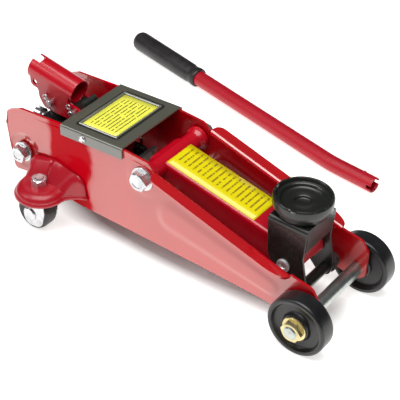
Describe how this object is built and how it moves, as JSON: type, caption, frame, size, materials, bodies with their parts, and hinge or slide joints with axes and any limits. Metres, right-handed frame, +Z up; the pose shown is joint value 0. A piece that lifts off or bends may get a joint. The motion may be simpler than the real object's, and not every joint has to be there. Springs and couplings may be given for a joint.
{
  "type": "hydraulic trolley jack",
  "caption": "Low hydraulic floor jack on wheels: a pumped ram raises a channel arm whose linked yoke keeps the round saddle level.",
  "frame": {"origin": "on the floor, on the centre plane between the side plates, 165 mm behind the front axle", "axes": "+X forward to the saddle and front wheels, +Y to the jack's left, +Z up; the saddle's cup faces +Z"},
  "size_m": [0.5138, 0.3988, 0.1572],
  "materials": {
    "red_paint": "high-gloss red enamel",
    "black_paint": "semi-gloss black enamel",
    "olive_paint": "satin olive-grey enamel",
    "zinc": "bright zinc plate",
    "yellow_zinc": "yellow passivated zinc plate",
    "bare_steel": "oiled turned steel",
    "cast_black": "black painted casting",
    "label_yellow": "printed plastic film with plain dark bars",
    "wheel_black": "semi-gloss black wheel",
    "castor_tread": "hard black rubber",
    "grip_rubber": "soft black rubber"
  },
  "bodies": {
    "chassis": {"side_plate_right": "red_paint", "side_plate_left": "red_paint", "castor_bracket_right": "red_paint", "castor_bracket_left": "red_paint", "cross_member": "red_paint", "rear_bolts": "zinc", "lift_pivot_bolt": "zinc", "bolt_washers": "zinc", "front_axle": "bare_steel", "axle_nuts": "yellow_zinc", "cover_plate": "olive_paint", "cover_label": "label_yellow", "cover_screws": "zinc", "valve_block": "cast_black", "reservoir_tube": "black_paint", "pressure_cylinder": "bare_steel", "gland_nut": "bare_steel", "filler_plug": "black_paint", "tie_rod_studs": "zinc", "castor_king_pins": "zinc", "castor_races": "bare_steel", "fulcrum_pin": "zinc", "fulcrum_split_pin": "zinc", "return_springs": "black_paint"},
    "release_screw": {"release_valve": "zinc"},
    "ram": {"ram_rod": "bare_steel", "ram_crosshead": "bare_steel"},
    "plunger": {"pump_plunger": "bare_steel"},
    "socket": {"handle_socket": "red_paint", "plunger_pin": "zinc", "plunger_split_pin": "zinc"},
    "arm": {"lift_arm": "red_paint", "arm_label": "label_yellow", "arm_pivot_tube": "red_paint", "lever_pin": "bare_steel"},
    "tie_rods": {"tie_rod_right": "black_paint", "tie_rod_left": "black_paint"},
    "yoke": {"saddle_yoke": "black_paint", "yoke_pivot_pin": "zinc", "yoke_cross_pin": "black_paint"},
    "saddle_cup": {"saddle": "black_paint", "saddle_retaining_ring": "zinc"},
    "wheel_right": {"front_wheel_right": "wheel_black"},
    "wheel_left": {"front_wheel_left": "wheel_black"},
    "castor_right": {"castor_fork_right": "zinc", "castor_axle_right": "zinc"},
    "castor_left": {"castor_fork_left": "zinc", "castor_axle_left": "zinc"},
    "castor_wheel_r": {"castor_wheel_right": "castor_tread"},
    "castor_wheel_l": {"castor_wheel_left": "castor_tread"},
    "handle": {"handle_tube": "red_paint", "handle_stop_pin": "red_paint", "handle_grip": "grip_rubber"}
  },
  "joints": [
    {"name": "lift", "type": "hinge", "parent": "chassis", "child": "arm", "pos_m": [-0.039, 0, 0.108], "axis": [0, -1, 0], "range_deg": [0, 78]},
    {"name": "tie_rod_swing", "type": "hinge", "parent": "chassis", "child": "tie_rods", "pos_m": [-0.02, 0, 0.083], "axis": [0, -1, 0], "range_deg": [0, 78.1]},
    {"name": "yoke_level", "type": "hinge", "parent": "arm", "child": "yoke", "pos_m": [0.121, 0, 0.062], "axis": [0, -1, 0], "range_deg": [-78.1, 0]},
    {"name": "saddle_spin", "type": "hinge", "parent": "yoke", "child": "saddle_cup", "pos_m": [0.121, 0, 0.12], "axis": [0, 0, 1], "continuous": true},
    {"name": "ram_stroke", "type": "slide", "parent": "chassis", "child": "ram", "axis": [1, 0, 0], "range_m": [0, 0.0531], "deforming": ["return_springs"]},
    {"name": "pump_stroke", "type": "hinge", "parent": "chassis", "child": "socket", "pos_m": [-0.162, 0, 0.117], "axis": [0, 1, 0], "range_deg": [0, 32]},
    {"name": "plunger_stroke", "type": "slide", "parent": "chassis", "child": "plunger", "axis": [0, 0, 1], "range_m": [0, 0.0165]},
    {"name": "release_turn", "type": "hinge", "parent": "chassis", "child": "release_screw", "pos_m": [-0.218, 0, 0.084], "axis": [-1, 0, 0], "range_deg": [0, 180]},
    {"name": "wheel_right_roll", "type": "hinge", "parent": "chassis", "child": "wheel_right", "pos_m": [0.165, -0.06, 0.033], "axis": [0, 1, 0], "continuous": true},
    {"name": "wheel_left_roll", "type": "hinge", "parent": "chassis", "child": "wheel_left", "pos_m": [0.165, 0.06, 0.033], "axis": [0, 1, 0], "continuous": true},
    {"name": "castor_right_swivel", "type": "hinge", "parent": "chassis", "child": "castor_right", "pos_m": [-0.1625, -0.071, 0.048], "axis": [0, 0, 1], "continuous": true},
    {"name": "castor_left_swivel", "type": "hinge", "parent": "chassis", "child": "castor_left", "pos_m": [-0.1625, 0.071, 0.048], "axis": [0, 0, 1], "continuous": true},
    {"name": "castor_right_roll", "type": "hinge", "parent": "castor_right", "child": "castor_wheel_r", "pos_m": [-0.1665, -0.071, 0.0205], "axis": [0, 1, 0], "continuous": true},
    {"name": "castor_left_roll", "type": "hinge", "parent": "castor_left", "child": "castor_wheel_l", "pos_m": [-0.1665, 0.071, 0.0205], "axis": [0, 1, 0], "continuous": true},
    {"name": "handle_lift", "type": "slide", "parent": "chassis", "child": "handle", "axis": [0, 0, 1], "range_m": [0, 0.25]}
  ],
  "couplings": [
    {"joint": "tie_rod_swing", "follows": "lift", "ratio": 1},
    {"joint": "yoke_level", "follows": "lift", "ratio": -1},
    {"joint": "ram_stroke", "follows": "lift", "m_per_rad": 0.0388},
    {"joint": "plunger_stroke", "follows": "pump_stroke", "m_per_rad": 0.02915}
  ]
}
